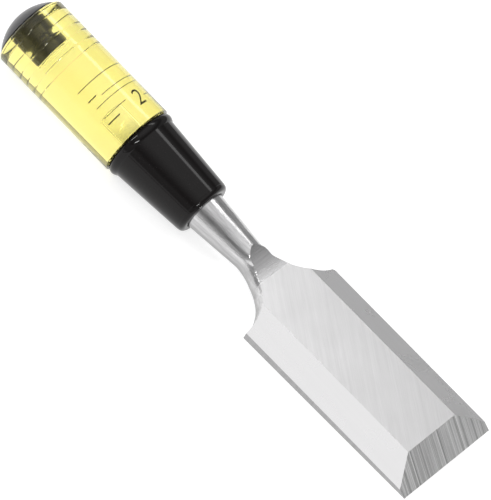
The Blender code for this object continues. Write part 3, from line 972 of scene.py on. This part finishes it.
class CHISEL_OT_strike_cap(Operator):
    """Builds the domed cap with the grooved plug that snaps into the handle"""

    bl_idname = "chisel.strike_cap"
    bl_label = "Strike cap"
    bl_options = {"REGISTER", "UNDO"}

    def execute(self, context):
        h = handle_sizes()
        start = grip_end() + GAP
        rim = start + h.cap_rim
        dome = (h.cap_radius**2 + h.dome_height**2) / (2 * h.dome_height)
        centre = rim + h.dome_height - dome
        widest = math.asin(h.cap_radius / dome)
        profile = []
        for step in range(DOME_STEPS + 1):
            turn = widest * step / DOME_STEPS
            profile.append((centre + dome * math.cos(turn), dome * math.sin(turn)))
        profile[0] = (profile[0][0], 0.0)
        end = start - h.plug_length
        groove = start - h.plug_groove
        half = h.plug_groove_width / 2
        bottom = h.plug_radius - h.plug_groove_depth
        first = len(profile)
        profile += [
            (start, h.cap_radius),
            (start, h.plug_radius),
            (groove + half, h.plug_radius),
            (groove + half / 2, bottom),
            (groove - half / 2, bottom),
            (groove - half, h.plug_radius),
            (end + h.plug_chamfer, h.plug_radius),
            (end, h.plug_radius - h.plug_chamfer),
            (end, 0.0),
        ]
        radii = {first - 1: RIM, first: NICK}
        radii.update({first + step: CHAMFER for step in range(2, 8)})
        shade = bpy.context.scene.chisel_colours.cap
        material = plastic_material("satin_black_cap", shade, 0.25, 200.0, 0.45)
        piece = finish_piece(
            "cap_dome", turned(rounded(profile, radii)), [material], "strike_cap",
        )
        smooth(piece, 40.0)
        return {"FINISHED"}


# ------------------------ the stamped marks


def bar_shape(width, height):
    """A flat bar, as thin as the ink."""
    shape = bmesh.new()
    bmesh.ops.create_cube(shape, size=1.0)
    bmesh.ops.scale(shape, verts=shape.verts, vec=(width, height, INK_DEPTH))
    return shape


def numeral_shape(figure, height):
    """A plain numeral as a thin plate, standing on its middle."""
    curve = bpy.data.curves.new("numeral", "FONT")
    curve.body = figure
    curve.align_x = "CENTER"
    curve.align_y = "CENTER"
    curve.size = height * NUMERAL_SIZE
    curve.shear = NUMERAL_SLANT
    curve.extrude = INK_DEPTH / 2
    curve.offset = -NUMERAL_THINNING
    carrier = bpy.data.objects.new("numeral", curve)
    bpy.context.scene.collection.objects.link(carrier)
    bpy.context.view_layer.update()
    evaluated = carrier.evaluated_get(bpy.context.evaluated_depsgraph_get())
    mesh = bpy.data.meshes.new_from_object(evaluated)
    shape = bmesh.new()
    shape.from_mesh(mesh)
    bpy.data.meshes.remove(mesh)
    bpy.data.objects.remove(carrier, do_unlink=True)
    bmesh.ops.remove_doubles(shape, verts=shape.verts, dist=MERGE)
    return shape


def stamp(shape, station, turn):
    """Cuts a flat mark into strips and bends it round the handle, just under its skin."""
    h = handle_sizes()
    wide = max(abs(corner.co.x) for corner in shape.verts)
    cuts = int(wide / BEND_STEP)
    for step in range(-cuts, cuts + 1):
        geometry = shape.verts[:] + shape.edges[:] + shape.faces[:]
        place = (step * BEND_STEP, 0.0, 0.0)
        bmesh.ops.bisect_plane(shape, geom=geometry, plane_co=place, plane_no=(1.0, 0.0, 0.0))
    for corner in shape.verts:
        across, up, depth = corner.co
        swing = turn + across / h.radius
        reach = h.radius - INK_INSET + depth
        corner.co = (-reach * math.cos(swing), -reach * math.sin(swing), station + up)
    bmesh.ops.recalc_face_normals(shape, faces=shape.faces)
    bmesh.ops.transform(shape, verts=shape.verts, matrix=axis_frame())


def ink_material():
    """Dark olive stamping ink, a little worn."""
    material, tree, surface = new_material("stamping_ink")
    shade = bpy.context.scene.chisel_colours.ink
    _, scuffs = placed_group(tree, scuff_group())
    set_inputs(scuffs, Scale=1400.0)
    worn = tuple(min(channel * 4, 1.0) for channel in shade)
    tint = between(tree, shade, worn, scuffs.outputs["Mottle"])
    wire(tree, tint, surface.inputs["Base Color"])
    roughened(tree, surface, 0.45, 0.8, scuffs.outputs["Mottle"])
    return material


class CHISEL_OT_marks(Operator):
    """Stamps the size numeral and plain rules into the handle's skin"""

    bl_idname = "chisel.marks"
    bl_label = "Marks"
    bl_options = {"REGISTER", "UNDO"}

    def execute(self, context):
        h = handle_sizes()
        whole = bmesh.new()
        for station, first, last, thick in RULES:
            middle = math.radians(first + last) / 2
            width = math.radians(last - first) * h.radius
            rule = bar_shape(width, thick)
            stamp(rule, grip_start() + station, middle)
            join(whole, rule)
        figure = numeral_shape("2", NUMERAL_HEIGHT)
        stamp(figure, grip_start() + NUMERAL_STATION, math.radians(NUMERAL_TURN))
        join(whole, figure)
        finish_piece("stamped_marks", whole, [ink_material()])
        return {"FINISHED"}


# ------------------------ the stage


def area_light(name, place, aim, size, power):
    data = bpy.data.lights.new(name, "AREA")
    data.shape = "RECTANGLE"
    data.size, data.size_y = size
    data.energy = power
    lamp = bpy.data.objects.new(name, data)
    bpy.context.scene.collection.objects.link(lamp)
    lamp.location = place
    lamp.rotation_mode = "QUATERNION"
    lamp.rotation_quaternion = (Vector(place) - Vector(aim)).to_track_quat("Z", "Y")


def floor_material():
    """A white table top, lit a little from within."""
    material, _, surface = new_material("pale_floor")
    shade = bpy.context.scene.chisel_colours.floor
    surface.inputs["Specular IOR Level"].default_value = 0.1
    white = (1.0, 1.0, 1.0, 1.0)
    set_inputs(surface, Base_Color=(*shade, 1.0), Roughness=0.9)
    set_inputs(surface, Emission_Color=white, Emission_Strength=0.68)
    return material


def studio_world():
    """Soft light from all round, brightest overhead."""
    world = bpy.data.worlds.new("soft_studio")
    bpy.context.scene.world = world
    world.use_nodes = True
    tree = world.node_tree
    sky = tree.nodes["Background"]
    coords = node(tree, "ShaderNodeTexCoord")
    split = node(tree, "ShaderNodeSeparateXYZ")
    wire(tree, coords.outputs["Generated"], split.inputs[0])
    ramp = node(tree, "ShaderNodeValToRGB")
    stops = ramp.color_ramp.elements
    stops[0].position, stops[1].position = SKY[0][0], SKY[-1][0]
    for height, _ in SKY[1:-1]:
        stops.new(height)
    for stop, (_, shade) in zip(stops, SKY):
        stop.color = (shade, shade, shade, 1.0)
    wire(tree, split.outputs["Z"], ramp.inputs["Fac"])
    wire(tree, ramp.outputs["Color"], sky.inputs["Color"])
    sky.inputs["Strength"].default_value = 1.0


def studio_camera():
    stage = bpy.context.scene.chisel_stage
    data = bpy.data.cameras.new("camera")
    data.lens = stage.lens
    data.sensor_width = 36.0
    data.clip_end = 20.0
    camera = bpy.data.objects.new("camera", data)
    bpy.context.scene.collection.objects.link(camera)
    flat = math.cos(stage.elevation)
    forward = Vector(
        (
            flat * math.cos(stage.heading),
            flat * math.sin(stage.heading),
            -math.sin(stage.elevation),
        )
    )
    level = forward.cross(Vector((0.0, 0.0, 1.0))).normalized()
    upright = level.cross(forward)
    right = level * math.cos(stage.roll) + upright * math.sin(stage.roll)
    up = right.cross(forward)
    turn = Matrix((right, up, -forward)).transposed().to_4x4()
    camera.matrix_world = Matrix.Translation(Vector(stage.aim) - forward * stage.distance) @ turn
    bpy.context.scene.camera = camera


class CHISEL_OT_stage(Operator):
    """Lays the floor, hangs the lights and sets up the camera"""

    bl_idname = "chisel.stage"
    bl_label = "Stage"
    bl_options = {"REGISTER", "UNDO"}

    def execute(self, context):
        shape = bmesh.new()
        bmesh.ops.create_grid(shape, x_segments=1, y_segments=1, size=6.0)
        drop = CAD_BOX[0][2] - FLOOR_DROP
        bmesh.ops.translate(shape, verts=shape.verts, vec=(0.0, 0.0, drop))
        mesh = bpy.data.meshes.new("floor")
        shape.to_mesh(mesh)
        shape.free()
        mesh.materials.append(floor_material())
        floor = bpy.data.objects.new("floor", mesh)
        context.scene.collection.objects.link(floor)
        studio_world()
        for lamp in LAMPS:
            area_light(*lamp)
        studio_camera()
        context.scene.view_settings.view_transform = "Standard"
        return {"FINISHED"}


# ------------------------ the add-on


class CHISEL_PT_panel(Panel):
    """The chisel's pieces and sizes in the sidebar"""

    bl_idname = "CHISEL_PT_panel"
    bl_label = "Bench chisel"
    bl_space_type = "VIEW_3D"
    bl_region_type = "UI"
    bl_category = "Chisel"

    def draw(self, context):
        layout = self.layout
        for operator in OPERATORS:
            layout.operator(operator.bl_idname)
        for group in GROUPS:
            settings = getattr(context.scene, group)
            box = layout.box()
            for key in settings.bl_rna.properties.keys():
                if key not in ("rna_type", "name"):
                    box.prop(settings, key)


GROUPS = {
    "chisel_blade": ChiselBladeSizes,
    "chisel_handle": ChiselHandleSizes,
    "chisel_colours": ChiselColours,
    "chisel_stage": ChiselStageSizes,
}
OPERATORS = (
    CHISEL_OT_blade,
    CHISEL_OT_handle,
    CHISEL_OT_ferrule,
    CHISEL_OT_strike_cap,
    CHISEL_OT_marks,
    CHISEL_OT_stage,
)


def register():
    for group in GROUPS.values():
        bpy.utils.register_class(group)
    for name, group in GROUPS.items():
        setattr(bpy.types.Scene, name, PointerProperty(type=group))
    for operator in (*OPERATORS, CHISEL_PT_panel):
        bpy.utils.register_class(operator)


def unregister():
    for operator in reversed((*OPERATORS, CHISEL_PT_panel)):
        bpy.utils.unregister_class(operator)
    for name, group in GROUPS.items():
        delattr(bpy.types.Scene, name)
        bpy.utils.unregister_class(group)


def main():
    register()
    bpy.ops.chisel.blade()
    bpy.ops.chisel.handle()
    bpy.ops.chisel.ferrule()
    bpy.ops.chisel.strike_cap()
    bpy.ops.chisel.marks()
    bpy.ops.chisel.stage()


if __name__ == "__main__":
    main()
